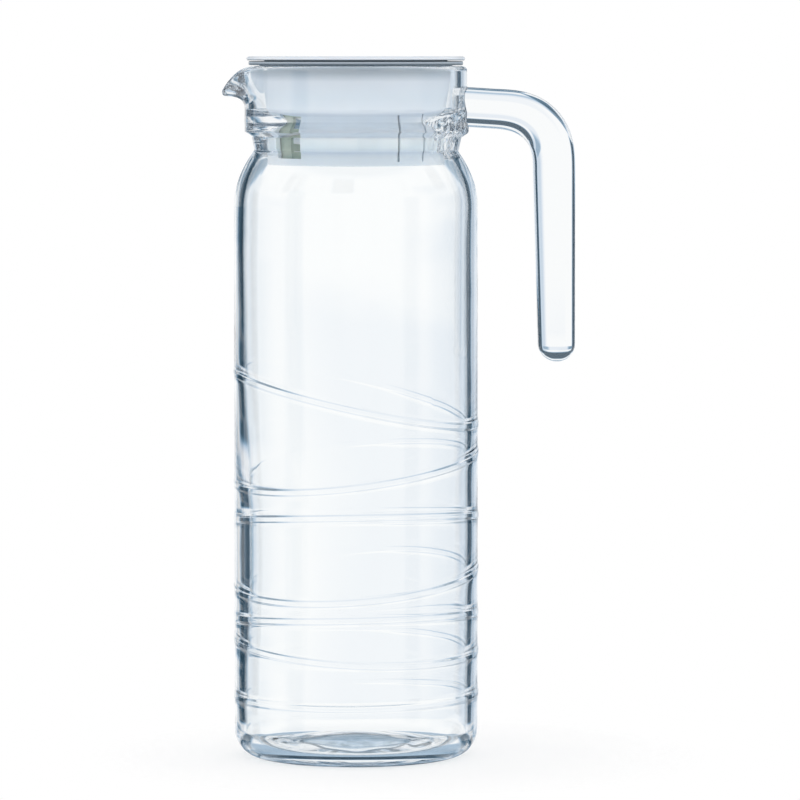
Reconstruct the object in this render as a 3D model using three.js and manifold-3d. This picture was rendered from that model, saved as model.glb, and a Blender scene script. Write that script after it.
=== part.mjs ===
// Tall clear glass refrigerator jug with a pulled pouring beak, an applied cane handle
// and a push-in lid whose turning insert opens a pouring window or a strainer.
// Millimetres, +Z up, beak towards -X, handle towards +X, standing on Z = 0.

import * as THREE from 'three';
import { mergeVertices } from 'three/addons/utils/BufferGeometryUtils.js';
import Module from 'manifold-3d';

const wasm = await Module();
wasm.setup();

// Gap kept between pieces that touch
const CLEARANCE = 0.3;

// Glass body
const BODY_DIAMETER = 93;
const BODY_WALL = 3.4;
const RIM_HEIGHT = 263.8;
const BASE_CORNER = 10.5;
const FOOT_RING_WIDTH = 7;
const PUNT_DEPTH = 4.5;
const FLOOR_THICKNESS = 4;
const FLOOR_CORNER = 7.5;
const FLOOR_CROWN = 4.5;
const SHOULDER_HEIGHT = 21;
const NECK_HEIGHT = 7.2;
const NECK_TAPER = 0.9;
const LEDGE_WIDTH = 2.7;
const LEDGE_RISE = 1.8;
const COLLAR_DIAMETER = 84.8;
const COLLAR_HEIGHT = 25;
const COLLAR_WALL = 3.8;
const NECK_WALL = 4;
const SEAT_RISE = 4.5;

// Moulded ripples: mean height, and the rise towards the handle (+X) and the back (+Y)
const RIPPLES = [
  { height: 24, rightRise: 0.6, backRise: 0.9 },
  { height: 43.2, rightRise: -2.3, backRise: 3.8 },
  { height: 54.2, rightRise: 1.1, backRise: -2.1 },
  { height: 69, rightRise: 3.5, backRise: 5.8 },
  { height: 91.7, rightRise: 0.8, backRise: -3.3 },
  { height: 111.2, rightRise: 5.7, backRise: 5 },
  { height: 137.6, rightRise: -10, backRise: 2.5 },
];
const RIPPLE_WIDTH = 3;
const RIPPLE_RELIEF = 0.4;

// Pouring beak
const BEAK_REACH = 51;
const BEAK_DEPTH = 16;
const BEAK_TIP_DROP = 9.5;
const BEAK_LIP = 2;
const BEAK_HALF_ANGLE = 32;
const BEAK_EDGE_SHARPNESS = 2.5;

// Handle
const HANDLE_REACH = 83.5;
const ARM_DROP = 15.4;
const ARM_SLOPE = 1.2;
const ARM_THICKNESS = 15.2;
const BEND_THICKNESS = 17.2;
const GRIP_THICKNESS = 15.6;
const GRIP_END_THICKNESS = 14;
const GRIP_DEPTH = 20;
const GRIP_BEND = 22;
const HANDLE_LENGTH = 112.8;
const CANE_ROUNDNESS = 0.65;
const PAD_HALF_ANGLE = 38;
const PAD_HEIGHT = 27;
const PAD_DROP = 5.5;
const PAD_BLEND = 3;

// Lid plug
const FLANGE_INSET = 1.6;
const FLANGE_THICKNESS = 1.5;
const FLANGE_BEVEL = 0.6;
const PLUG_WALL = 1.6;
const PLUG_TOP_CLEARANCE = 1.9;
const SKIRT_CLEARANCE = 1;
const PLUG_TAPER_HEIGHT = 18.5;
const SKIRT_HEIGHT = 20;
const WINDOW_WIDTH = 12.4;
const WINDOW_HEIGHT = 14.8;
const WINDOW_ANGLE = 223.5;
const SLIT_WIDTH = 0.9;
const SLIT_HEIGHT = 17;
const SLIT_ANGLES = [298, 317];

// Turning insert of the lid
const CAP_INSET = 0.6;
const CAP_THICKNESS = 1.5;
const BOWL_WALL = 1.6;
const BOWL_FLOOR = 2;
const BOWL_DEPTH = 22.4;
const GRIP_BAR_THICKNESS = 6;
const GRIP_BAR_ANGLE = 15;
const GRIP_BAR_DROP = 2.5;
const SPIGOT_HEIGHT = 4;
const SPIGOT_WALL = 1.6;
const SLEEVE_WALL = 1.5;
const SLEEVE_RECESS = 0.5;
const SHUTTER_GAP_WIDTH = 16.5;
const SHUTTER_GAP_HEIGHT = 14;
const SHUTTER_GAP_ANGLE = 238;

// Facets
const ROUND_SEGMENTS = 48;
const ARC_STEPS = 4;
const CURVE_STEPS = 6;
const CANE_SEGMENTS = 20;
const CANE_STATIONS = 34;

// Heights and radii that follow from the sizes above
const bodyRadius = BODY_DIAMETER / 2;
const bodyBore = bodyRadius - BODY_WALL;
const collarRadius = COLLAR_DIAMETER / 2;
const collarBore = collarRadius - COLLAR_WALL;
const neckTopRadius = collarRadius - LEDGE_WIDTH;
const neckRadius = neckTopRadius - NECK_TAPER;
const neckBore = neckRadius - NECK_WALL;
const collarBottom = RIM_HEIGHT - COLLAR_HEIGHT;
const neckBottom = collarBottom - NECK_HEIGHT;
const shoulderBottom = neckBottom - SHOULDER_HEIGHT;
const rimRadius = COLLAR_WALL / 2;
const flangeBottom = RIM_HEIGHT + CLEARANCE;
const flangeTop = flangeBottom + FLANGE_THICKNESS;
const capBottom = flangeTop + CLEARANCE;
const capTop = capBottom + CAP_THICKNESS;
const skirtTop = flangeBottom - PLUG_TAPER_HEIGHT;
const skirtBottom = skirtTop - SKIRT_HEIGHT;
const skirtRadius = neckBore - SKIRT_CLEARANCE;
const skirtBore = skirtRadius - PLUG_WALL;
const plugTopRadius = collarBore - PLUG_TOP_CLEARANCE;
const plugTopBore = plugTopRadius - PLUG_WALL;
const bowlRadius = skirtBore - CLEARANCE;
const bowlTopRadius = plugTopBore - CLEARANCE;
const bowlFloorTop = capTop - BOWL_DEPTH;
const bowlFloorBottom = bowlFloorTop - BOWL_FLOOR;
const sleeveBore = bowlRadius - SLEEVE_WALL;
const spigotRadius = sleeveBore - CLEARANCE;

const FULL_TURN = 2 * Math.PI;
const BEAK_ANGLE = Math.PI;
const ANGLES = Array.from({ length: ROUND_SEGMENTS }, (_, i) => (FULL_TURN * i) / ROUND_SEGMENTS);
const radians = THREE.MathUtils.degToRad;
const lerp = THREE.MathUtils.lerp;
const steps = (count) => Array.from({ length: count }, (_, i) => (i + 1) / count);

// A closed skin through rings of points, drawn together to a pole at either end.
function skinRings(startPole, rings, endPole) {
  const count = rings[0].length;
  const points = [startPole, ...rings.flat(), endPole];
  const last = points.length - 1;
  const faces = [];
  for (let j = 0; j < count; j += 1) {
    const next = (j + 1) % count;
    faces.push(0, 1 + next, 1 + j);
    for (let i = 0; i < rings.length - 1; i += 1) {
      const low = 1 + i * count;
      const high = low + count;
      faces.push(low + j, low + next, high + next, low + j, high + next, high + j);
    }
    faces.push(last - count + j, last - count + next, last);
  }
  const geometry = new THREE.BufferGeometry().setFromPoints(points);
  geometry.setIndex(faces);
  return geometry;
}

// A profile of [radius, height] points turned about the Z axis.
function revolve(profile) {
  const points = profile.map(([radius, height]) => new THREE.Vector2(radius, height));
  return new THREE.LatheGeometry(points, ROUND_SEGMENTS).rotateX(Math.PI / 2);
}

// The solid that a closed geometry bounds, without the empty triangles on an axis.
function solidOf(geometry) {
  const bare = new THREE.BufferGeometry();
  bare.setAttribute('position', geometry.getAttribute('position'));
  bare.setIndex(geometry.getIndex());
  const merged = mergeVertices(bare, 1e-4);
  const index = merged.getIndex().array;
  const faces = [];
  for (let i = 0; i < index.length; i += 3) {
    const [a, b, c] = index.slice(i, i + 3);
    if (a !== b && b !== c && c !== a) faces.push(a, b, c);
  }
  const vertProperties = new Float32Array(merged.getAttribute('position').array);
  return new wasm.Manifold(new wasm.Mesh({ numProp: 3, vertProperties, triVerts: new Uint32Array(faces) }));
}

function geometryOf(solid) {
  const mesh = solid.getMesh();
  const geometry = new THREE.BufferGeometry();
  geometry.setAttribute('position', new THREE.BufferAttribute(mesh.vertProperties, mesh.numProp));
  geometry.setIndex(new THREE.BufferAttribute(mesh.triVerts, 1));
  return geometry;
}

// A quarter of a circle from one [radius, height] point to another; the tangent leaves the first
// point along the radius if outward is true and along the height if it is false.
function quarterArc([startRadius, startHeight], [endRadius, endHeight], outward) {
  return steps(ARC_STEPS).map((share) => {
    const early = Math.sin((share * Math.PI) / 2);
    const late = 1 - Math.cos((share * Math.PI) / 2);
    const [radial, upright] = outward ? [early, late] : [late, early];
    return [lerp(startRadius, endRadius, radial), lerp(startHeight, endHeight, upright)];
  });
}

// The shoulder leaves the upright body wall and draws in towards the neck.
function shoulderProfile(lowRadius, highRadius) {
  return steps(CURVE_STEPS).map((share) => [
    lerp(lowRadius, highRadius, share * share),
    lerp(shoulderBottom, neckBottom, share),
  ]);
}

// Outside of the vessel from the shoulder's foot to the collar.
function outerShoulder() {
  return [
    [bodyRadius, shoulderBottom],
    ...shoulderProfile(bodyRadius, neckRadius),
    [neckTopRadius, collarBottom - LEDGE_RISE],
    [collarRadius, collarBottom],
  ];
}

const plainRing = ([radius, height]) => ANGLES.map((angle) => polar(radius, angle, height));

function polar(radius, angle, height) {
  return new THREE.Vector3(radius * Math.cos(angle), radius * Math.sin(angle), height);
}

// One moulded ripple: its lower edge, its crest and its upper edge, tilted round the wall.
function rippleRings({ height, rightRise, backRise }) {
  return [-1, 0, 1].map((side) => ANGLES.map((angle) => {
    const crest = height + rightRise * Math.cos(angle) + backRise * Math.sin(angle);
    const radius = side === 0 ? bodyRadius + RIPPLE_RELIEF : bodyRadius;
    return polar(radius, angle, crest + (side * RIPPLE_WIDTH) / 2);
  }));
}

// How far the beak pulls the wall out at an angle: 1 on the beak's centre line and 0 beside it.
function beakPull(angle) {
  const turn = Math.abs(angle - BEAK_ANGLE) / radians(BEAK_HALF_ANGLE);
  return turn < 1 ? Math.cos((turn * Math.PI) / 2) ** 2 : 0;
}

// A ring of the collar that runs through rest beside the beak and through drawn on its centre line.
function beakRing([restRadius, restHeight], [drawnRadius, drawnHeight]) {
  return ANGLES.map((angle) => {
    const pull = beakPull(angle);
    const drop = pull ** BEAK_EDGE_SHARPNESS;
    return polar(lerp(restRadius, drawnRadius, pull), angle, lerp(restHeight, drawnHeight, drop));
  });
}

// The collar with its beak: up the outside, over the round rim and down the inside.
function collarRings() {
  const rootHeight = RIM_HEIGHT - BEAK_DEPTH;
  const tipHeight = RIM_HEIGHT - BEAK_TIP_DROP;
  const lip = BEAK_LIP / 2;
  const tipRadius = BEAK_REACH - lip;
  const under = new THREE.QuadraticBezierCurve(
    new THREE.Vector2(collarRadius, rootHeight),
    new THREE.Vector2(collarRadius, tipHeight - lip),
    new THREE.Vector2(tipRadius, tipHeight - lip),
  );
  const over = new THREE.QuadraticBezierCurve(
    new THREE.Vector2(collarBore, rootHeight),
    new THREE.Vector2(collarBore, tipHeight + lip),
    new THREE.Vector2(tipRadius, tipHeight + lip),
  );
  const shoulderHeight = RIM_HEIGHT - rimRadius;
  const climb = [0, ...steps(CURVE_STEPS)];
  const outside = climb.map((share) => beakRing(
    [collarRadius, lerp(rootHeight, shoulderHeight, share)],
    under.getPoint(share).toArray(),
  ));
  const rim = steps(ARC_STEPS).slice(0, -1).map((share) => {
    const swing = share * Math.PI;
    return beakRing(
      [collarRadius - rimRadius * (1 - Math.cos(swing)), shoulderHeight + rimRadius * Math.sin(swing)],
      [tipRadius + lip * Math.sin(swing), tipHeight - lip * Math.cos(swing)],
    );
  });
  const inside = climb.reverse().map((share) => beakRing(
    [collarBore, lerp(rootHeight, shoulderHeight, share)],
    over.getPoint(share).toArray(),
  ));
  return [...outside, ...rim, ...inside];
}

// The blown vessel: punted foot, rippled wall, shoulder, neck ring, collar and beak.
function glassBody() {
  const footRadius = bodyRadius - BASE_CORNER;
  const puntRadius = footRadius - FOOT_RING_WIDTH;
  const floorTop = PUNT_DEPTH + FLOOR_THICKNESS;
  const floorEdge = floorTop - FLOOR_CROWN;
  const floorRadius = bodyBore - FLOOR_CORNER;
  const punt = [1 / 3, 2 / 3].map((share) => [puntRadius * share, PUNT_DEPTH * (1 - share * share)]);
  const foot = [
    ...punt,
    [puntRadius, 0],
    [footRadius, 0],
    ...quarterArc([footRadius, 0], [bodyRadius, BASE_CORNER], true),
  ];
  const inside = [
    [collarBore, collarBottom + SEAT_RISE],
    [neckBore, collarBottom],
    [neckBore, neckBottom],
    ...shoulderProfile(bodyBore, neckBore).reverse().slice(1),
    [bodyBore, shoulderBottom],
    [bodyBore, floorEdge + FLOOR_CORNER],
    ...quarterArc([bodyBore, floorEdge + FLOOR_CORNER], [floorRadius, floorEdge], false),
    [floorRadius / 2, lerp(floorTop, floorEdge, 1 / 4)],
  ];
  const rings = [
    ...foot.map(plainRing),
    ...RIPPLES.flatMap(rippleRings),
    ...outerShoulder().map(plainRing),
    ...collarRings(),
    ...inside.map(plainRing),
  ];
  return skinRings(new THREE.Vector3(0, 0, PUNT_DEPTH), rings, new THREE.Vector3(0, 0, floorTop));
}

// The glass that the handle's pad is laid against, grown by the clearance and filled to the axis.
function handleSeat() {
  const skin = [...outerShoulder(), [collarRadius, RIM_HEIGHT]];
  return revolve([
    [0, shoulderBottom],
    ...skin.map(([radius, height]) => [radius + CLEARANCE, height]),
    [0, RIM_HEIGHT],
  ]);
}

// The cane's centre line: out from the collar, round the bend and down to its free end.
function canePath() {
  const rootX = collarRadius * Math.cos(radians(PAD_HALF_ANGLE));
  const gripX = HANDLE_REACH - GRIP_THICKNESS / 2;
  const armHeight = RIM_HEIGHT - ARM_DROP;
  const bendStart = new THREE.Vector3(gripX - GRIP_BEND, 0, armHeight - ARM_SLOPE);
  const bendCorner = new THREE.Vector3(gripX, 0, bendStart.z);
  const bendEnd = new THREE.Vector3(gripX, 0, bendStart.z - GRIP_BEND);
  const end = new THREE.Vector3(HANDLE_REACH - GRIP_END_THICKNESS / 2, 0, RIM_HEIGHT - HANDLE_LENGTH);
  const path = new THREE.CurvePath();
  path.add(new THREE.LineCurve3(new THREE.Vector3(rootX, 0, armHeight), bendStart));
  path.add(new THREE.QuadraticBezierCurve3(bendStart, bendCorner, bendEnd));
  path.add(new THREE.LineCurve3(bendEnd, end));
  return path;
}

// How far the cane is spread into its pad at a distance along it: 1 at the root and 0 on the arm.
function padSpread(distance) {
  const padReach = collarRadius * (1 - Math.cos(radians(PAD_HALF_ANGLE)));
  return Math.exp(-2 * (distance / (padReach + PAD_BLEND)) ** 2);
}

// The cane's half thickness and half depth at a distance along it: swollen in the bend, tapered
// along the grip and round at its free end.
function caneSection(distance, [armEnd, bendEnd, length]) {
  const turned = THREE.MathUtils.clamp((distance - armEnd) / (bendEnd - armEnd), 0, 1);
  const slim = Math.max(0, (distance - bendEnd) / (length - bendEnd));
  const swell = BEND_THICKNESS - (ARM_THICKNESS + GRIP_THICKNESS) / 2;
  const bent = lerp(ARM_THICKNESS, GRIP_THICKNESS, turned) + swell * Math.sin(turned * Math.PI) ** 2;
  const thickness = lerp(bent, GRIP_END_THICKNESS, slim);
  const endReach = GRIP_END_THICKNESS / 2;
  const past = Math.max(0, (distance - (length - endReach)) / endReach);
  const close = Math.sqrt(1 - past * past);
  const spread = padSpread(distance);
  const padDepth = collarRadius * Math.sin(radians(PAD_HALF_ANGLE));
  return [
    (lerp(thickness, PAD_HEIGHT, spread) / 2) * close,
    lerp(GRIP_DEPTH / 2, padDepth, spread) * close,
  ];
}

// A sine or cosine bent so that it squares an oval section off; a roundness of 1 leaves the oval.
const squared = (wave, roundness) => Math.sign(wave) * Math.abs(wave) ** roundness;

// The handle: a cane of glass laid hot on the collar, with a spread pad that follows the glass.
function glassHandle() {
  const path = canePath();
  const ends = path.getCurveLengths();
  const length = path.getLength();
  const across = new THREE.Vector3(0, 1, 0);
  const roundEnd = GRIP_END_THICKNESS / 2;
  const plainStations = steps(CANE_STATIONS).map((share) => share * (length - roundEnd));
  const endStations = steps(ARC_STEPS).slice(0, -1).map(
    (share) => length - roundEnd + roundEnd * Math.sin((share * Math.PI) / 2),
  );
  const rings = [0, ...plainStations, ...endStations].map((distance) => {
    const centre = path.getPointAt(distance / length);
    centre.z -= PAD_DROP * padSpread(distance);
    const tangent = path.getTangentAt(distance / length);
    const normal = new THREE.Vector3().crossVectors(across, tangent);
    const [thick, deep] = caneSection(distance, ends);
    const roundness = lerp(CANE_ROUNDNESS, 1, padSpread(distance));
    return Array.from({ length: CANE_SEGMENTS }, (_, i) => {
      const angle = (FULL_TURN * i) / CANE_SEGMENTS;
      const point = centre.clone().addScaledVector(normal, thick * squared(Math.cos(angle), roundness));
      return point.addScaledVector(across, deep * squared(Math.sin(angle), roundness));
    });
  });
  const root = rings[0][0].clone().add(rings[0][CANE_SEGMENTS / 2]).divideScalar(2);
  const cane = solidOf(skinRings(root, rings, path.getPointAt(1)));
  return geometryOf(cane.subtract(solidOf(handleSeat())));
}

// A block standing across a wall at a radius and an angle, for cutting it through.
function wallCutter(angle, radius, width, low, high) {
  const depth = 4 * PLUG_WALL;
  const block = new THREE.BoxGeometry(depth, width, high - low);
  block.translate(radius, 0, (low + high) / 2).rotateZ(radians(angle));
  return solidOf(block);
}

// The same cut on opposite sides of a round wall.
function cutPairs(solid, angles, radius, width, low, high) {
  const sides = angles.flatMap((angle) => [angle, angle + 180]);
  return sides.reduce((left, angle) => left.subtract(wallCutter(angle, radius, width, low, high)), solid);
}

// The frosted plug: a flange on the rim, a tapered wall and a skirt with windows and strainer slits.
function lidShell() {
  const plug = solidOf(revolve([
    [skirtBore, skirtBottom],
    [skirtRadius, skirtBottom],
    [skirtRadius, skirtTop],
    [plugTopRadius, flangeBottom],
    [collarRadius - FLANGE_INSET - FLANGE_BEVEL, flangeBottom],
    [collarRadius - FLANGE_INSET, flangeBottom + FLANGE_BEVEL],
    [collarRadius - FLANGE_INSET, flangeTop],
    [plugTopBore, flangeTop],
    [plugTopBore, flangeBottom],
    [skirtBore, skirtTop],
    [skirtBore, skirtBottom],
  ]));
  const below = skirtBottom - PLUG_WALL;
  const wallRadius = (skirtRadius + skirtBore) / 2;
  const windowTop = skirtBottom + WINDOW_HEIGHT;
  const slitTop = skirtBottom + SLIT_HEIGHT;
  const windowed = cutPairs(plug, [WINDOW_ANGLE], wallRadius, WINDOW_WIDTH, below, windowTop);
  return geometryOf(cutPairs(windowed, SLIT_ANGLES, wallRadius, SLIT_WIDTH, below, slitTop));
}

// The bar across the bowl that the fingers turn, with a round top.
function gripBar(solidEnvelope) {
  const half = GRIP_BAR_THICKNESS / 2;
  const top = capTop - GRIP_BAR_DROP - half;
  const outline = new THREE.Shape();
  outline.moveTo(half, bowlFloorBottom + BOWL_FLOOR / 2);
  outline.lineTo(half, top);
  outline.absarc(0, top, half, 0, Math.PI, false);
  outline.lineTo(-half, bowlFloorBottom + BOWL_FLOOR / 2);
  const bar = new THREE.ExtrudeGeometry(outline, {
    depth: 2 * bowlTopRadius,
    bevelEnabled: false,
    curveSegments: ARC_STEPS * 2,
  });
  bar.translate(0, 0, -bowlTopRadius).rotateX(Math.PI / 2).rotateZ(radians(GRIP_BAR_ANGLE + 90));
  return solidOf(bar).intersect(solidEnvelope);
}

// The turning insert: a bevelled cap ring, a finger bowl with its grip bar and a spigot below it.
function lidBowl() {
  const capRadius = collarRadius - CAP_INSET;
  const bevel = CAP_THICKNESS / 2;
  const bowlTopBore = bowlTopRadius - BOWL_WALL;
  const bowlBore = bowlRadius - BOWL_WALL;
  const spigotBottom = bowlFloorBottom - SPIGOT_HEIGHT;
  const insert = solidOf(revolve([
    [0, bowlFloorBottom],
    [spigotRadius - SPIGOT_WALL, bowlFloorBottom],
    [spigotRadius - SPIGOT_WALL, spigotBottom],
    [spigotRadius, spigotBottom],
    [spigotRadius, bowlFloorBottom],
    [bowlRadius, bowlFloorBottom],
    [bowlRadius, skirtTop],
    [bowlTopRadius, flangeBottom],
    [bowlTopRadius, capBottom],
    [capRadius - bevel, capBottom],
    [capRadius, capBottom + bevel],
    [capRadius - bevel, capTop],
    [bowlTopBore, capTop],
    [bowlTopBore, flangeBottom],
    [bowlBore, bowlFloorTop],
    [0, bowlFloorTop],
  ]));
  const middle = BOWL_WALL / 2;
  const envelope = solidOf(revolve([
    [0, bowlFloorBottom],
    [bowlRadius - middle, bowlFloorBottom],
    [bowlRadius - middle, skirtTop],
    [bowlTopRadius - middle, flangeBottom],
    [bowlTopRadius - middle, capTop],
    [0, capTop],
  ]));
  return geometryOf(insert.add(gripBar(envelope)));
}

// The shutter: a sleeve on the spigot with two gaps that pass the windows or the slits.
function shutterSleeve() {
  const top = bowlFloorBottom - CLEARANCE;
  const bottom = skirtBottom + SLEEVE_RECESS;
  const sleeve = solidOf(revolve([
    [sleeveBore, bottom],
    [bowlRadius, bottom],
    [bowlRadius, top],
    [sleeveBore, top],
    [sleeveBore, bottom],
  ]));
  const below = bottom - SLEEVE_WALL;
  const wallRadius = (bowlRadius + sleeveBore) / 2;
  const gapTop = bottom + SHUTTER_GAP_HEIGHT;
  return geometryOf(cutPairs(sleeve, [SHUTTER_GAP_ANGLE], wallRadius, SHUTTER_GAP_WIDTH, below, gapTop));
}

function piece(name, geometry, colour, roughness, opacity) {
  const material = new THREE.MeshStandardMaterial({
    color: colour,
    roughness,
    metalness: 0,
    opacity,
    transparent: opacity < 1,
  });
  const mesh = new THREE.Mesh(geometry, material);
  mesh.name = name;
  return mesh;
}

const jug = new THREE.Group();
jug.add(piece('glass_body', glassBody(), 0xdfe8ee, 0.03, 0.35));
jug.add(piece('glass_handle', glassHandle(), 0xdfe8ee, 0.03, 0.35));
jug.add(piece('lid_shell', lidShell(), 0xcdd6e0, 0.45, 0.8));
jug.add(piece('lid_bowl', lidBowl(), 0xd6dee6, 0.4, 0.8));
jug.add(piece('shutter_sleeve', shutterSleeve(), 0x92a292, 0.5, 1));

// The middle of the whole outline, from beak tip to handle, stands over the origin.
jug.position.x = (BEAK_REACH - HANDLE_REACH) / 2;

export default jug;
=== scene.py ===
"""Looks of a tall clear glass jug with a push-in lid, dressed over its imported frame."""

import logging
import math
from dataclasses import dataclass, field
from enum import Enum, auto
from functools import partial
from typing import Any, Sequence

import bpy
import numpy as np
from bpy.types import Material, Node, NodeSocket, NodeTree, Object
from mathutils import Euler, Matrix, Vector, noise


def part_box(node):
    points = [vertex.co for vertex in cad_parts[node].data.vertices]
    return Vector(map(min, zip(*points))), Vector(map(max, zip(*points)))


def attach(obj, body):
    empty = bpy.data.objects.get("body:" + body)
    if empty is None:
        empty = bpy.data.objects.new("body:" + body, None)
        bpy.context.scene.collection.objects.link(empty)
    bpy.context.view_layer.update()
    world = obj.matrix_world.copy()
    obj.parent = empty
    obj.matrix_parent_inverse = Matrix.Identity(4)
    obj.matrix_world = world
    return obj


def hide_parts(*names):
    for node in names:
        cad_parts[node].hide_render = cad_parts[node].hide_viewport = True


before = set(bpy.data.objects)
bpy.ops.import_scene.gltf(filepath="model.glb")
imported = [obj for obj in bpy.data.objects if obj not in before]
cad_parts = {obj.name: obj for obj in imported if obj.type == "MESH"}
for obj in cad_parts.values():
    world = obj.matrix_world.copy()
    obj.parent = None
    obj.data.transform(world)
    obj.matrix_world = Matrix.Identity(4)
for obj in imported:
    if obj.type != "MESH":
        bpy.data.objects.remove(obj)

LOG = logging.getLogger("jug")
MM = 0.001
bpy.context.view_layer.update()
AXIS_X = (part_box("lid_shell")[0].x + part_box("lid_shell")[1].x) / 2

# The kinds of node that come up most
MATH = "ShaderNodeMath"
VECTOR = "ShaderNodeVectorMath"
RANGE = "ShaderNodeMapRange"
NOISE = "ShaderNodeTexNoise"
SPLIT = "ShaderNodeSeparateXYZ"
JOIN = "ShaderNodeCombineXYZ"
MIX = "ShaderNodeMix"
MIX_SHADER = "ShaderNodeMixShader"

Ring = np.ndarray
Outline = list[tuple[float, float]]


class Rider(Enum):
    """The rigid bodies that pieces ride on."""

    JUG = "jug"
    LID_PLUG = "lid_plug"
    LID_INSERT = "lid_insert"


def linear(hex_code: str) -> tuple[float, float, float, float]:
    """Turns an sRGB hex colour into linear light.

    Args:
        hex_code: six hex digits, red first.

    Returns:
        Linear red, green, blue and an alpha of 1.
    """
    shares = [int(hex_code[i:i + 2], 16) / 255 for i in (0, 2, 4)]
    light = [s / 12.92 if s <= 0.04045 else ((s + 0.055) / 1.055) ** 2.4 for s in shares]
    return (light[0], light[1], light[2], 1.0)


def add_node(tree: NodeTree, kind: str, *values: Any, **settings: Any) -> Node:
    """Adds a node with its settings, values and links.

    Args:
        tree: the tree that takes the node.
        kind: the node's type name.
        values: its inputs in order, or dicts of them by name or place. A node stands for its first output.
        settings: attributes of the node.

    Returns:
        The new node.
    """
    node = tree.nodes.new(kind)
    for name, value in settings.items():
        setattr(node, name, value)
    for place, given in enumerate(values):
        for name, value in (given if isinstance(given, dict) else {place: given}).items():
            source = value.outputs[0] if isinstance(value, Node) else value
            if isinstance(source, NodeSocket):
                tree.links.new(source, node.inputs[name])
            else:
                node.inputs[name].default_value = source
    return node


def graded(tree: NodeTree, amount: Any, stops: Sequence[tuple[float, str]]) -> Node:
    """Adds a row of colours that a number runs along.

    Args:
        tree: the tree that takes the nodes.
        amount: the number's node or socket.
        stops: its value at each colour, rising, and the colour.

    Returns:
        The node that gives the colour.
    """
    first, last = stops[0][0], stops[-1][0]
    ramp = add_node(tree, "ShaderNodeValToRGB", add_node(tree, RANGE, amount, first, last))
    elements = ramp.color_ramp.elements
    while len(elements) < len(stops):
        elements.new(0.5)
    for element, (value, code) in zip(elements, stops):
        element.position = (value - first) / (last - first)
        element.color = linear(code)
    return ramp


def per_size(size: float) -> float:
    """Gives the scale of a noise whose pattern has a size in mm."""
    return 1 / (size * MM)


def rounded(corners: Sequence[tuple[float, ...]], steps: int = 6) -> Outline:
    """Rounds the corners of an outline.

    Args:
        corners: radius, height and, where the corner is rounded, its fillet, in mm.
        steps: points along each fillet.

    Returns:
        The outline's points, radius and height in mm.
    """
    most = 1 / 2.02  # of a side, so that two fillets on it stay apart
    points: Outline = []
    for i, corner in enumerate(corners):
        here = Vector(corner[:2])
        fillet = corner[2] if len(corner) > 2 else 0.0
        if not fillet or i in (0, len(corners) - 1):
            points.append((here.x, here.y))
            continue
        back = Vector(corners[i - 1][:2]) - here
        ahead = Vector(corners[i + 1][:2]) - here
        reach = min(fillet / math.tan(back.angle(ahead) / 2), back.length * most, ahead.length * most)
        start = here + back.normalized() * reach
        end = here + ahead.normalized() * reach
        for t in (step / steps for step in range(steps + 1)):
            point = start * (1 - t) ** 2 + here * 2 * t * (1 - t) + end * t ** 2
            points.append((point.x, point.y))
    return points


def turn(outline: Outline, segments: int) -> list[Ring]:
    """Turns an outline about the jug's axis.

    Args:
        outline: radius and height in mm.
        segments: sides of each ring.

    Returns:
        One ring of points for each point of the outline, in mm from the axis.
    """
    angles = np.arange(segments) * (2 * math.pi / segments)
    return [np.stack((r * np.cos(angles), r * np.sin(angles), np.full(segments, z)), 1) for r, z in outline]


def place_mesh(name: str, points: np.ndarray, faces: Sequence[Sequence[int]]) -> Object:
    """Makes an object at the origin, with its place in its mesh.

    Args:
        name: the object's name.
        points: points in mm from the foot of the jug's axis.
        faces: the points of each face, counter-clockwise from outside.

    Returns:
        The object, in the scene.
    """
    mesh = bpy.data.meshes.new(name)
    mesh.from_pydata((points * MM + (AXIS_X, 0, 0)).tolist(), [], faces)
    piece = bpy.data.objects.new(name, mesh)
    bpy.context.scene.collection.objects.link(piece)
    return piece


def skin(name: str, rings: Sequence[Ring], poles: tuple[float, float] | None,
         marks: dict[str, np.ndarray] | None = None) -> Object:
    """Skins a stack of rings, from a pole on the axis to another or round to its start.

    Args:
        name: the piece's name.
        rings: rings of points in mm from the jug's axis, facing outwards as the stack goes up.
        poles: heights of the first and last pole in mm, or None where the stack closes on itself.
        marks: values for each ring, or for each point of each ring, kept as point attributes.

    Returns:
        The skinned piece.
    """
    count = len(rings[0])
    points = np.concatenate(rings)
    around = np.arange(count)
    ahead = np.roll(around, -1)
    faces: list[Sequence[int]] = []
    for i in range(len(rings) - 1 if poles else len(rings)):
        low = i * count
        high = ((i + 1) % len(rings)) * count
        faces += np.stack((low + around, low + ahead, high + ahead, high + around), 1).tolist()
    if poles:
        centres = [np.append(rings[k][:, :2].mean(0), z) for k, z in zip((0, -1), poles)]
        first = len(points)
        last = first - count
        points = np.concatenate((points, centres))
        faces += np.stack((ahead, around, np.full(count, first)), 1).tolist()
        faces += np.stack((last + around, last + ahead, np.full(count, first + 1)), 1).tolist()
    piece = place_mesh(name, points, faces)
    for mark, values in (marks or {}).items():
        layer = piece.data.attributes.new(mark, "FLOAT", "POINT")
        spread = np.zeros(len(points), np.float32)
        spread[:len(rings) * count] = np.broadcast_to(values.reshape(len(rings), -1), (len(rings), count)).ravel()
        layer.data.foreach_set("value", spread)
    piece.data.shade_smooth()
    return piece


def bake(piece: Object) -> None:
    """Turns a piece and its modifiers into a plain mesh.

    Args:
        piece: the piece, which keeps its name and loses its modifiers.
    """
    bpy.context.view_layer.update()
    evaluated = piece.evaluated_get(bpy.context.evaluated_depsgraph_get())
    finished = bpy.data.meshes.new_from_object(evaluated)
    piece.modifiers.clear()
    old = piece.data
    piece.data = finished
    bpy.data.meshes.remove(old)
    finished.name = piece.name


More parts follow.
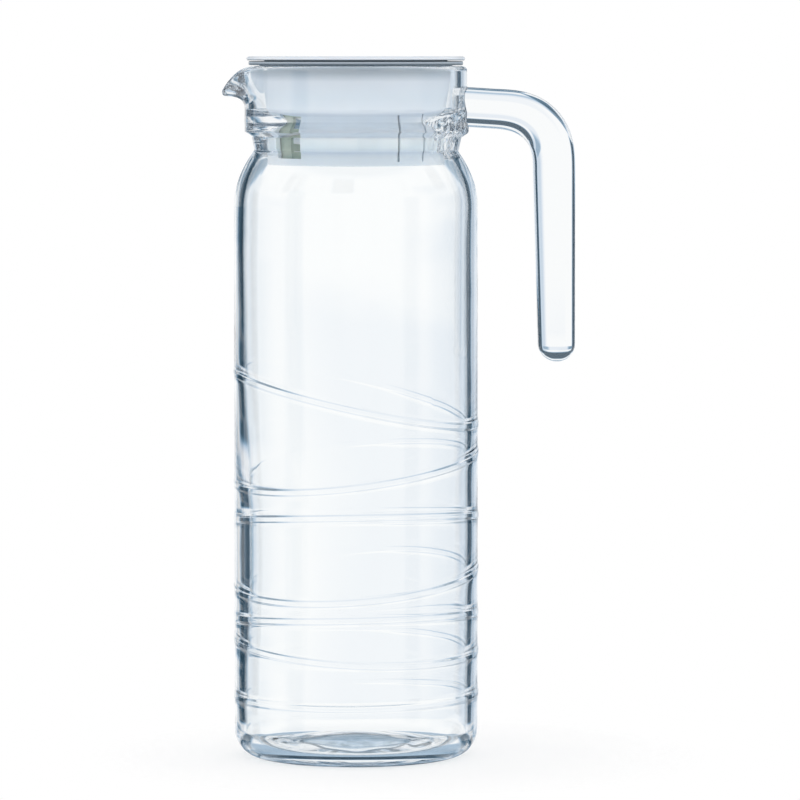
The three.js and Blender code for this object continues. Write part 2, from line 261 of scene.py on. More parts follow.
def combine(piece: Object, other: Object, operation: str) -> None:
    """Joins another solid to a piece, or cuts it away, and drops the other one.

    Args:
        piece: the piece that stays.
        other: the solid that is joined or cut away.
        operation: UNION or DIFFERENCE.
    """
    modifier = piece.modifiers.new("solid", "BOOLEAN")
    modifier.operation = operation
    modifier.solver = "MANIFOLD"
    modifier.object = other
    bake(piece)
    bpy.data.objects.remove(other)


def dress(piece: Object, finish: Material) -> None:
    """Gives a piece, as a plain mesh, its only material and smooth shading."""
    piece.data.materials.clear()
    piece.data.materials.append(finish)
    piece.data.shade_smooth()


def hand_over(piece: Object, rider: Rider, slot: str, *nodes: str) -> None:
    """Puts a finished piece on its body in place of its solids, and reports it.

    Args:
        piece: the finished piece.
        rider: the body that it rides on.
        slot: the record's material slot; not used.
        nodes: the solids that it stands for.
    """
    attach(piece, rider.value)
    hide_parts(*nodes)
    piece.data.calc_loop_triangles()
    LOG.info("%s rides on %s, %d triangles", piece.name, rider.value, len(piece.data.loop_triangles))


class NodeTool:
    """A Geometry Nodes tree with named number inputs, used as a modifier."""

    def __init__(self, name: str, inputs: Sequence[str]) -> None:
        """Starts the tree.

        Args:
            name: what the tree makes.
            inputs: the names of its numbers.
        """
        self.tree = bpy.data.node_groups.new(name, "GeometryNodeTree")
        interface = self.tree.interface
        interface.new_socket("Geometry", in_out="INPUT", socket_type="NodeSocketGeometry")
        interface.new_socket("Geometry", in_out="OUTPUT", socket_type="NodeSocketGeometry")
        kinds = dict.fromkeys(inputs, "NodeSocketFloat") | {"Material": "NodeSocketMaterial"}
        self.sockets = {key: interface.new_socket(key, in_out="INPUT", socket_type=kind).identifier
                        for key, kind in kinds.items()}
        self.node = partial(add_node, self.tree)
        self.given = self.node("NodeGroupInput").outputs

    def close(self, geometry: Any) -> None:
        """Ends the tree with its last geometry, a node or socket, made real and given its material."""
        solid = self.node("GeometryNodeRealizeInstances", geometry)
        dressed = self.node("GeometryNodeSetMaterial", {"Geometry": solid, "Material": self.given["Material"]})
        self.node("NodeGroupOutput", dressed)

    def push(self, direction: Any, amount: Any) -> None:
        """Ends the tree by moving each point in a direction by an amount, each a node or socket."""
        offset = self.node(VECTOR, {0: direction, "Scale": amount}, operation="SCALE")
        self.close(self.node("GeometryNodeSetPosition", {"Geometry": self.given["Geometry"], "Offset": offset}))

    def apply(self, piece: Object, material: Material, **values: float) -> None:
        """Adds the tree to a piece as a modifier.

        Args:
            piece: the piece that the tree works on.
            material: the finish of the result.
            values: the inputs, with _ for each space in a name.
        """
        modifier = piece.modifiers.new(self.tree.name, "NODES")
        modifier.node_group = self.tree
        modifier[self.sockets["Material"]] = material
        for key, value in values.items():
            modifier[self.sockets[key.replace("_", " ")]] = value


class RippleTool(NodeTool):
    """Raises one tilted ripple out of a round wall."""

    def __init__(self) -> None:
        """Builds the tree: a soft ridge with a crisp flat crest along a tilted line, pushed out from the axis."""
        super().__init__("tilted ripple", ("Height", "Right Rise", "Back Rise", "Width", "Relief", "Crest", "Bevel",
                                           "Lift", "Axis", "Fade Angle", "Fade"))
        node, given = self.node, self.given
        place = node(SPLIT, node("GeometryNodeInputPosition")).outputs
        aside = node(MATH, place[0], given["Axis"], operation="SUBTRACT")
        outward = node(VECTOR, node(JOIN, aside, place[1]), operation="NORMALIZE")
        facing = node(SPLIT, outward).outputs
        crest = node(MATH, given["Right Rise"], facing[0], given["Height"], operation="MULTIPLY_ADD")
        crest = node(MATH, given["Back Rise"], facing[1], crest, operation="MULTIPLY_ADD")
        away = node(MATH, place[2], crest, operation="SUBTRACT")
        away = node(MATH, away, operation="ABSOLUTE")
        share = node(MATH, away, given["Width"], operation="DIVIDE")
        square = node(MATH, share, share, operation="MULTIPLY")
        ridge = node(MATH, square, -1.0, operation="MULTIPLY")
        ridge = node(MATH, ridge, operation="EXPONENT")
        foot, head = (node(MATH, given["Bevel"], half, given["Crest"], operation="MULTIPLY_ADD")
                      for half in (0.5, -0.5))
        flat_top = node(RANGE, away, foot, head, interpolation_type="SMOOTHSTEP")
        lift = node(MATH, flat_top, given["Lift"], operation="MULTIPLY")
        amount = node(MATH, ridge, given["Relief"], lift, operation="MULTIPLY_ADD")
        mask = node("GeometryNodeInputNamedAttribute", {"Name": "rippled"}, data_type="FLOAT")
        amount = node(MATH, amount, mask.outputs["Attribute"], operation="MULTIPLY")
        east, north = (node(MATH, given["Fade Angle"], operation=part) for part in ("COSINE", "SINE"))
        towards = node(MATH, facing[0], east, operation="MULTIPLY")
        towards = node(MATH, facing[1], north, towards, operation="MULTIPLY_ADD")
        start, end = 0.35, 0.95  # shares of the way to the faded side
        faded = node(RANGE, {0: towards, 1: start, 2: end, 4: given["Fade"]}, interpolation_type="SMOOTHSTEP")
        left = node(MATH, 1.0, faded, operation="SUBTRACT")
        self.push(outward, node(MATH, amount, left, operation="MULTIPLY"))


class CrumpleTool(NodeTool):
    """Crumples the glass of a hot joint."""

    def __init__(self) -> None:
        """Builds the tree: folds along the surface's own normals, from a seeded noise."""
        super().__init__("crumpled joint", ("Depth", "Fold", "Seed"))
        node, given = self.node, self.given
        folds = node(NOISE, {
            "Vector": node("GeometryNodeInputPosition"), "W": given["Seed"], "Detail": 1.0,
            "Scale": node(MATH, 1.0, given["Fold"], operation="DIVIDE")}, noise_dimensions="4D")
        creased = node(MATH, folds, 2.0, -1.0, operation="MULTIPLY_ADD")
        creased = node(MATH, creased, operation="ABSOLUTE")
        ridge_share = 0.6  # of the folds' depth that stands out; the rest lies in
        depth = node(MATH, ridge_share, creased, operation="SUBTRACT")
        depth = node(MATH, depth, given["Depth"], operation="MULTIPLY")
        mask = node("GeometryNodeInputNamedAttribute", {"Name": "crumpled"}, data_type="FLOAT")
        depth = node(MATH, depth, mask.outputs["Attribute"], operation="MULTIPLY")
        self.push(node("GeometryNodeInputNormal"), depth)


class WindowTool(NodeTool):
    """Cuts a pair of facing windows through a round wall."""

    def __init__(self) -> None:
        """Builds the tree: two blocks set round the axis, half a turn apart, are cut away."""
        super().__init__("facing windows", ("Width", "Height", "Depth", "Radius", "Middle", "Angle", "Axis"))
        node, given = self.node, self.given
        size = node(JOIN, given["Depth"], given["Width"], given["Height"])
        block = node("GeometryNodeMeshCube", {"Size": size})
        out = node(JOIN, given["Radius"])
        block = node("GeometryNodeTransform", {"Geometry": block, "Translation": out})
        centre = node(JOIN, {0: given["Axis"], 2: given["Middle"]})
        pair = node("GeometryNodePoints", {"Count": 2, "Position": centre})
        index = node("GeometryNodeInputIndex")
        angle = node(MATH, index, math.pi, given["Angle"], operation="MULTIPLY_ADD")
        blocks = node("GeometryNodeInstanceOnPoints", {
            "Points": pair, "Instance": block, "Rotation": node(JOIN, {2: angle})})
        blocks = node("GeometryNodeRealizeInstances", blocks)
        cut = node("GeometryNodeMeshBoolean", {"Mesh 1": given["Geometry"], "Mesh 2": blocks},
                   operation="DIFFERENCE", solver="MANIFOLD")
        self.close(cut.outputs["Mesh"])


@dataclass(frozen=True)
class Finish:
    """A finish made from procedural nodes. Sizes in mm."""

    name: str

    def layers(self, tree: NodeTree, place: NodeSocket) -> tuple[Node, ...]:
        """Adds the nodes of the finish.

        Args:
            tree: the tree that takes the nodes.
            place: the place on the piece.

        Returns:
            The surface and, where light travels in the piece, its body.
        """
        raise NotImplementedError

    def material(self) -> Material:
        """Builds the material, named for what it is and how its surface was made, and returns it."""
        material = bpy.data.materials.new(self.name)
        material.use_nodes = True
        tree = material.node_tree
        tree.nodes.clear()
        place = add_node(tree, "ShaderNodeTexCoord").outputs["Object"]
        add_node(tree, "ShaderNodeOutputMaterial", *self.layers(tree, place))
        return material


@dataclass(frozen=True)
class ClearGlass(Finish):
    """Soda-lime glass, moulded and fire polished."""

    name: str = "clear soda-lime glass, fire polished"
    tint: str = "feffff"
    depth_tint: str = "9fb2c2"
    density: float = 3.2
    ior: float = 1.52
    wave: float = 14.0
    wave_height: float = 0.4
    wave_strength: float = 0.08
    smear: float = 30.0
    smear_range: tuple[float, float] = (0.45, 0.75)
    smear_roughness: float = 0.012

    def layers(self, tree: NodeTree, place: NodeSocket) -> tuple[Node, ...]:
        """Adds the nodes of the glass, by the place on it, and returns its surface and its body."""
        # Clear and bright where it is thin, slate where the eye looks along the wall, with slow waves from the mould.
        node = partial(add_node, tree)
        waves = node(NOISE, {"Vector": place, "Scale": per_size(self.wave), "Detail": 1.0})
        bump = node("ShaderNodeBump", {
            "Strength": self.wave_strength, "Distance": self.wave_height * MM, "Height": waves})
        smears = node(NOISE, {"Vector": place, "Scale": per_size(self.smear), "Detail": 3.0})
        surface = node("ShaderNodeBsdfPrincipled", {
            "Base Color": linear(self.tint), "IOR": self.ior, "Transmission Weight": 1.0, "Normal": bump,
            "Roughness": node(RANGE, smears, *self.smear_range, 0.0, self.smear_roughness)})
        body = node("ShaderNodeVolumeAbsorption", {"Color": linear(self.depth_tint), "Density": self.density})
        return surface, body


@dataclass(frozen=True)
class FrostedPlastic(Finish):
    """Polypropylene, moulded in an etched tool, that lets light through but no picture."""

    painted_bands: tuple[tuple[float, str], ...]
    roughness: float
    depth: float
    roughness_spread: float = 0.06
    ior: float = 1.49
    cloud: float = 18.0
    cloud_shade: float = 0.92
    grit: float = 0.9
    grit_height: float = 0.1
    grit_strength: float = 0.15
    scatter: float = 1.5
    scatter_tint: tuple[float, float, float] = (0.9, 1.0, 1.1)

    def layers(self, tree: NodeTree, place: NodeSocket) -> tuple[Node, ...]:
        """Adds the nodes of the plastic, by the place on it, and returns its surface."""
        # Milky and soft, slightly cloudy, with light and shade painted in bands by height (painted shade in the
        # grooves by the flange, painted light down the thin skirt), and a fine matt grit that is drawn coarser than
        # the real one to show.
        node = partial(add_node, tree)
        height = node(MATH, node(SPLIT, place).outputs[2], MM, operation="DIVIDE")
        clouds = node(NOISE, {"Vector": place, "Scale": per_size(self.cloud), "Detail": 2.0})
        cloudy = node(RANGE, {0: clouds, 3: self.cloud_shade, 4: 1.0})
        # Painted light and shade: the colour runs through bands by height
        colour = node(VECTOR, {0: graded(tree, height, self.painted_bands), "Scale": cloudy}, operation="SCALE")
        grit = node(NOISE, {"Vector": place, "Scale": per_size(self.grit), "Detail": 2.0})
        bump = node("ShaderNodeBump", {
            "Strength": self.grit_strength, "Distance": self.grit_height * MM, "Height": grit})
        rough = node(RANGE, {0: grit, 3: self.roughness - self.roughness_spread,
                             4: self.roughness + self.roughness_spread})
        return (node("ShaderNodeBsdfPrincipled", {
            "Base Color": colour, "Roughness": rough, "IOR": self.ior, "Subsurface Weight": self.depth,
            "Subsurface Radius": self.scatter_tint, "Subsurface Scale": self.scatter * MM, "Normal": bump}),)


# Heights in mm and the colour painted on the plug there: painted shade in the grooves above and below the flange, at
# the top of the plug and at its bend, and painted light and shade in bands down the thin skirt
SHELL_LIGHT_AND_SHADE = (
    (226.0, "e0e8f0"), (229.0, "dce6ef"), (231.0, "c5d4e4"), (233.5, "e8f4fc"), (237.0, "f1f9ff"),
    (238.5, "dfe6f0"), (240.0, "cfdce9"), (242.5, "c3d2e1"), (244.0, "c3d1e0"), (245.3, "d7e1ed"),
    (247.5, "e9f1fb"), (252.0, "e1ebf5"), (258.0, "dde5ef"), (260.5, "b7c3ce"), (263.2, "95a1ac"),
    (263.9, "5f6d78"), (264.6, "66747f"), (264.9, "b4c0cb"), (265.25, "b4c0cb"), (265.5, "66747f"),
    (265.8, "66747f"),
)
# Heights in mm and the colour painted on the bowl there: painted shade in the groove under the cap's edge, lighter on
# the cap above it
BOWL_PAINTED_SHADE = (
    (236.0, "dde4eb"), (265.4, "dde4eb"), (265.7, "66747f"), (266.1, "66747f"), (266.4, "e6ecf4"),
    (267.4, "e6ecf4"),
)


@dataclass(frozen=True)
class ShutterPlastic(Finish):
    """Polypropylene in a grey-green batch colour, moulded satin."""

    name: str = "grey-green polypropylene, satin moulded"
    light: str = "a3b2a4"
    dark: str = "86978a"
    ior: float = 1.49
    roughness: tuple[float, float] = (0.38, 0.5)
    flow: float = 4.0
    flow_stretch: float = 5.0
    flow_height: float = 0.1
    flow_strength: float = 0.2

    def layers(self, tree: NodeTree, place: NodeSocket) -> tuple[Node, ...]:
        """Adds the nodes of the plastic, by the place on it, and returns its surface."""
        # A dull green-grey with faint upright flow marks and a low satin sheen.
        node = partial(add_node, tree)
        drawn = node("ShaderNodeMapping", {"Vector": place, "Scale": (1.0, 1.0, 1 / self.flow_stretch)})
        flow = node(NOISE, {"Vector": drawn, "Scale": per_size(self.flow), "Detail": 2.0})
        colour = node(MIX, {0: flow, 6: linear(self.dark), 7: linear(self.light)}, data_type="RGBA").outputs[2]
        bump = node("ShaderNodeBump", {
            "Strength": self.flow_strength, "Distance": self.flow_height * MM, "Height": flow})
        return (node("ShaderNodeBsdfPrincipled", {
            "Base Color": colour, "IOR": self.ior, "Normal": bump,
            "Roughness": node(RANGE, {0: flow, 3: self.roughness[0], 4: self.roughness[1]})}),)


@dataclass(frozen=True)
class Ripple:
    """One moulded ripple: its height on the wall and how far it climbs to the right and to the back, in mm."""

    height: float
    right_rise: float
    back_rise: float


RIPPLES = (
    Ripple(24.0, 0.6, 0.9),
    Ripple(43.2, -2.3, 3.8),
    Ripple(54.2, 1.1, -2.1),
    Ripple(69.0, 3.5, 5.8),
    Ripple(91.7, 0.8, -3.3),
    Ripple(111.2, 5.7, 5.0),
    Ripple(137.6, -10.0, 2.5),
)


@dataclass
class GlassVessel:
    """The moulded vessel with its rippled wall, neck ring, collar and pulled beak. Sizes in mm, angles in degrees."""

    body_diameter: float = 93.0
    wall: float = 3.7
    rim_height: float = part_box("glass_body")[1].z / MM
    base_corner: float = 10.5
    foot_ring: float = 7.0
    punt_depth: float = 4.5
    floor_thickness: float = 4.0
    floor_corner: float = 7.5
    floor_crown: float = 4.5
    wall_swell: float = 1.0
    bore_shift: float = -0.3
    swell_shift: float = 1.0
    swell_height: float = 80.0
    swell_spread: float = 52.0
    swell_start: float = 40.0
    shoulder_height: float = 21.0
    shoulder_fillet: float = 1.4
    bore_fillet: float = 3.0
    neck_height: float = 7.2
    neck_taper: float = 0.9
    ledge_width: float = 2.7
    ledge_rise: float = 1.8
    ledge_fillets: tuple[float, float] = (0.6, 0.7)
    collar_diameter: float = 84.8
    collar_height: float = 25.0
    collar_wall: float = 3.8
    neck_wall: float = 4.0
    core_spare: float = 6.0
    core_fillets: tuple[float, float] = (1.0, 1.1)
    seat_drop: float = 0.6
    seat_step: float = 0.4
    beak_reach: float = 51.0
    beak_depth: float = 16.0
    beak_drop: float = 10.0
    beak_lip: float = 3.0
    beak_half_angle: float = 32.0
    beak_sharpness: float = 2.5
    ripple_width: float = 2.6
    ripple_relief: float = 0.24
    crest_half_width: float = 1.1
    crest_bevel: float = 0.8
    crest_lift: float = 0.15
    fade_angle: float = 125.0
    fade: float = 0.8
    inner_wave: float = 0.12
    inner_wave_length: float = 34.0
    inner_wave_count: float = 1.3
    inner_wave_bottom: float = 18.0
    inner_wave_fade: float = 20.0
    floor_wave: float = 0.25
    floor_wave_length: float = 11.0
    fold_depth: float = 1.1
    fold_size: float = 2.1
    fold_half_angle: float = 46.0
    fold_bottom: float = 231.0
    fold_drop: float = 14.0
    fold_slant: float = 6.0
    fold_side_fade: float = 5.0
    fold_end_fade: float = 1.5
    fold_seed: float = 7.0
    sectors: tuple[tuple[int, int, int], ...] = (
        (0, 50, 42), (50, 144, 28), (144, 216, 72), (216, 310, 28), (310, 360, 42))
    centre_share: float = 0.06
    punt_rows: int = 16
    corner_rows: int = 14
    flank_rows: int = 5
    flank_share: float = 0.6
    crest_feet: tuple[float, ...] = (0.6, 1.2, 2.0)
    crest_room: float = 2.2
    shoulder_rows: int = 14
    shoulder_rows_left: int = 2
    collar_plain: float = 3.0
    collar_row: float = 0.6
    beak_gap: float = 0.4
    beak_rows: int = 30
    rim_rows: int = 13
    seat_rows: int = 16
    seat_shares: tuple[float, float] = (0.03, 0.97)
    bore_rows: int = 34
    floor_corner_rows: int = 10
    floor_rows: int = 12
    ripples: Sequence[Ripple] = RIPPLES

    def __post_init__(self) -> None:
        """Works out the radii, heights and sides that follow from the sizes."""
        self.radius = self.body_diameter / 2
        self.bore = self.radius - self.wall
        self.collar_radius = self.collar_diameter / 2
        self.collar_bore = self.collar_radius - self.collar_wall
        self.neck_top = self.collar_radius - self.ledge_width
        self.neck_radius = self.neck_top - self.neck_taper
        self.neck_bore = self.neck_radius - self.neck_wall
        self.collar_bottom = self.rim_height - self.collar_height
        self.neck_bottom = self.collar_bottom - self.neck_height
        self.shoulder_bottom = self.neck_bottom - self.shoulder_height
        self.beak_bottom = self.rim_height - self.beak_depth
        self.rim_edge = self.rim_height - self.collar_wall / 2
        degrees = np.concatenate([np.linspace(a, b, n, endpoint=False) for a, b, n in self.sectors])
        self.angles = np.radians(degrees)
        self.segments = len(degrees)
        off = np.abs(degrees - 180)
        self.pull = np.where(off < self.beak_half_angle,
                             np.cos(np.radians(90 * off / self.beak_half_angle)) ** 2, 0.0)

    def ring(self, radius: Any, height: Any) -> Ring:
        """Makes one ring.

        Args:
            radius: distance from the axis, one number or one for each side.
            height: height above the table, likewise.

        Returns:
            The ring's points in mm from the axis.
        """
        radius = np.broadcast_to(radius, self.angles.shape)
        height = np.broadcast_to(height, self.angles.shape)
        return np.stack((radius * np.cos(self.angles), radius * np.sin(self.angles), height), 1)

    def shoulder(self, foot: float, head: float) -> list[tuple[float, ...]]:
        """Gives the outline of a shoulder that leans in from an upright wall.

        Args:
            foot: radius at its bottom.
            head: radius at its top.

        Returns:
            Points of the outline below its top end, which is left to a fillet.
        """
        shares = [k / self.shoulder_rows for k in range(1, self.shoulder_rows - self.shoulder_rows_left + 1)]
        return [(foot + (head - foot) * s * s, self.shoulder_bottom + self.shoulder_height * s) for s in shares]

    def foot_rings(self) -> list[Ring]:
        """Makes the punted foot, its flat ring and the round base corner, and returns their rings."""
        foot = self.radius - self.base_corner
        punt = foot - self.foot_ring
        dome = [(punt * s, self.punt_depth * math.cos(math.pi / 2 * s) ** 2)
                for s in np.linspace(self.centre_share, 1, self.punt_rows)]
        corner = [(foot + self.base_corner * math.sin(a), self.base_corner * (1 - math.cos(a)))
                  for a in np.linspace(0, math.pi / 2, self.corner_rows)]
        return [self.ring(r, z) for r, z in dome + [(foot - self.foot_ring / 2, 0)] + corner]

    def wall_rings(self) -> list[Ring]:
        """Makes the upright wall, with rows that lie along the ripples, and returns its rings."""
        crests = [np.full(self.segments, self.base_corner)]
        for r in self.ripples:
            crests.append(r.height + r.right_rise * np.cos(self.angles) + r.back_rise * np.sin(self.angles))
        crests.append(np.full(self.segments, self.shoulder_bottom))
        flank = self.crest_half_width + self.crest_bevel * np.linspace(
            -self.flank_share, self.flank_share, self.flank_rows)
        rows = []
        for low, high in zip(crests, crests[1:]):
            room = np.maximum((high - low) / self.crest_room - flank[-1], 0)
            near = np.minimum(1.0, room / self.crest_feet[-1])
            offsets = [np.full(self.segments, away) for away in (flank[0] / 2, *flank)]
            offsets += [flank[-1] + near * away for away in self.crest_feet]
            rows += [low + away for away in offsets]
            rows += [(low + high) / 2]
            rows += [high - away for away in offsets[::-1]]
            rows += [high]
        return [self.ring(self.radius, row) for row in rows]

    def neck_rings(self) -> list[Ring]:
        """Makes the shoulder, the neck ring and the ledge under the collar, and returns their rings."""
        plain = self.collar_bottom + self.collar_plain
        heights = np.arange(plain + self.collar_row, self.beak_bottom - self.beak_gap, self.collar_row)
        corners = [
            *self.shoulder(self.radius, self.neck_radius),
            (self.neck_radius, self.neck_bottom, self.shoulder_fillet),
            (self.neck_top, self.collar_bottom - self.ledge_rise, self.ledge_fillets[0]),
            (self.collar_radius, self.collar_bottom, self.ledge_fillets[1]),
            (self.collar_radius, plain),
            *((self.collar_radius, z) for z in heights),
        ]
        return [self.ring(r, z) for r, z in rounded(corners)]

    def pulled(self, plain: Sequence[float], middle: Sequence[float]) -> Ring:
        """Makes one ring of the collar with the beak pulled out of it.

        Args:
            plain: the plain collar's radius and height.
            middle: radius and height on the beak's middle line.

        Returns:
            The ring's points in mm from the axis.
        """
        return self.ring(plain[0] + (middle[0] - plain[0]) * self.pull,
                         plain[1] + (middle[1] - plain[1]) * self.pull ** self.beak_sharpness)

    def beak_face(self, radius: float, tip: float) -> list[Ring]:
        """Makes the outer or the inner face of the collar and the beak.

        Args:
            radius: the plain collar's radius on that face.
            tip: the face's height at the beak's tip.

        Returns:
            The rings, from the beak's bottom up.
        """
        curve = ((radius, self.beak_bottom), (radius, tip), (self.beak_reach - self.beak_lip / 2, tip))
        rings = []
        for s in np.linspace(0, 1, self.beak_rows):
            weights = ((1 - s) ** 2, 2 * s * (1 - s), s ** 2)
            middle = [sum(w * p[k] for w, p in zip(weights, curve)) for k in (0, 1)]
            rings.append(self.pulled((radius, self.beak_bottom + (self.rim_edge - self.beak_bottom) * s), middle))
        return rings

    def collar_rings(self) -> list[Ring]:
        """Makes the collar up to the rim, over it and down inside, and returns its rings."""
        tip = self.rim_height - self.beak_drop
        lip = self.beak_lip / 2
        edge = self.collar_wall / 2
        rim = []
        for angle in np.linspace(0, math.pi, self.rim_rows)[1:-1]:
            plain = (self.collar_radius - edge + edge * math.cos(angle), self.rim_edge + edge * math.sin(angle))
            middle = (self.beak_reach - lip + lip * math.sin(angle), tip - lip * math.cos(angle))
            rim.append(self.pulled(plain, middle))
        return self.beak_face(self.collar_radius, tip - lip) + rim + self.beak_face(self.collar_bore, tip + lip)[::-1]

    def inner_outline(self, inner: float) -> Outline:
        """Gives the outline of the inside, from the lid's seat down to the floor.

        Args:
            inner: radius of the floor inside its corner.

        Returns:
            Radius and height of each point.
        """
        floor_edge = self.floor_thickness + self.punt_depth - self.floor_crown
        foot = self.collar_bottom - self.seat_drop
        shares = np.linspace(*self.seat_shares, self.seat_rows)
        outline = rounded([
            *((self.collar_bore + (self.neck_bore - self.collar_bore) * s * s * (3 - 2 * s),
               self.beak_bottom + (foot - self.beak_bottom) * s) for s in shares),
            (self.neck_bore, foot - self.seat_step),
            (self.neck_bore, self.neck_bottom, self.bore_fillet),
            *self.shoulder(self.bore, self.neck_bore)[::-1],
        ])
        outline += [(self.bore, z) for z in np.linspace(self.shoulder_bottom, floor_edge + self.floor_corner,
                                                        self.bore_rows)]
        outline += [(inner + self.floor_corner * math.cos(a), floor_edge + self.floor_corner * (1 - math.sin(a)))
                    for a in np.linspace(0, math.pi / 2, self.floor_corner_rows)[1:]]
        return outline + [(inner * s, floor_edge + self.floor_crown * (1 - s * s))
                          for s in np.linspace(1, self.centre_share, self.floor_rows)[1:]]

    def inner_rings(self) -> list[Ring]:
        """Makes the inside, slightly wavy and thicker in the lower wall, and returns its rings."""
        inner = self.bore - self.floor_corner
        rings = []
        for r, z in self.inner_outline(inner):
            fade = min(1.0, max(0.0, (self.shoulder_bottom - z) / self.inner_wave_fade),
                       max(0.0, (z - self.inner_wave_bottom) / self.inner_wave_fade))
            waves = np.array([noise.noise(Vector((self.inner_wave_count * math.cos(a),
                                                  self.inner_wave_count * math.sin(a), z / self.inner_wave_length)))
                              for a in self.angles])
            swell = math.exp(-((z - self.swell_height) / self.swell_spread) ** 2) * min(1.0, z / self.swell_start)
            ring = self.ring(r - self.wall_swell * swell * r / self.bore + self.inner_wave * fade * waves, z)
            ring[:, 0] += (self.bore_shift + self.swell_shift * swell) * fade
            if r < inner:
                ring[:, 2] += [self.floor_wave * noise.noise(Vector(p) / self.floor_wave_length) for p in ring]
            rings.append(ring)
        return rings

    def folds(self, ring: Ring) -> np.ndarray:
        """Says how crumpled each point of an outer ring is, in the fan under the handle's joint.

        Args:
            ring: the ring's points.

        Returns:
            A share from 0 to 1 for each point.
        """
        off = np.abs((np.degrees(self.angles) + 180) % 360 - 180)
        top = self.rim_height - self.fold_drop - self.fold_slant * off / self.fold_half_angle
        side = np.clip((self.fold_half_angle - off) / self.fold_side_fade, 0, 1)
        low = np.clip((ring[:, 2] - self.fold_bottom) / self.fold_end_fade, 0, 1)
        high = np.clip((top - ring[:, 2]) / self.fold_end_fade, 0, 1)
        return side * low * high

    def build(self, finish: Material) -> Object:
        """Builds the vessel.

        Args:
            finish: the glass.

        Returns:
            The vessel as a plain closed mesh.
        """
        foot, wall, neck = self.foot_rings(), self.wall_rings(), self.neck_rings()
        rings = foot + wall + neck + self.collar_rings() + self.inner_rings()
        rippled = np.zeros(len(rings))
        rippled[len(foot):len(foot + wall)] = 1
        outer = len(foot + wall + neck) + self.beak_rows
        folded = np.array([self.folds(ring) * (i < outer) for i, ring in enumerate(rings)])
        poles = (self.punt_depth, self.floor_thickness + self.punt_depth)
        piece = skin("glass_jug", rings, poles, {"rippled": rippled, "crumpled": folded})
        tool = RippleTool()
        for r in self.ripples:
            tool.apply(piece, finish, Height=r.height * MM, Right_Rise=r.right_rise * MM,
                       Back_Rise=r.back_rise * MM, Width=self.ripple_width * MM,
                       Relief=self.ripple_relief * MM, Crest=self.crest_half_width * MM,
                       Bevel=self.crest_bevel * MM, Lift=self.crest_lift * MM, Axis=AXIS_X,
                       Fade_Angle=math.radians(self.fade_angle), Fade=self.fade)
        CrumpleTool().apply(piece, finish, Depth=self.fold_depth * MM, Fold=self.fold_size * MM, Seed=self.fold_seed)
        bake(piece)
        return piece

    def core(self, inset: float) -> Object:
        """Builds a solid core of the neck and collar, for fitting a joint to them.

        Args:
            inset: how far the core stays inside the outer surface.

        Returns:
            The core, filled to the axis and longer than the collar.
        """
        outline = rounded([
            (self.neck_radius - inset, self.neck_bottom - self.core_spare),
            (self.neck_radius - inset, self.neck_bottom),
            (self.neck_top - inset, self.collar_bottom - self.ledge_rise, self.core_fillets[0]),
            (self.collar_radius - inset, self.collar_bottom, self.core_fillets[1]),
            (self.collar_radius - inset, self.rim_height + self.core_spare),
        ])
        return skin("core", turn(outline, self.segments), (outline[0][1], outline[-1][1]))


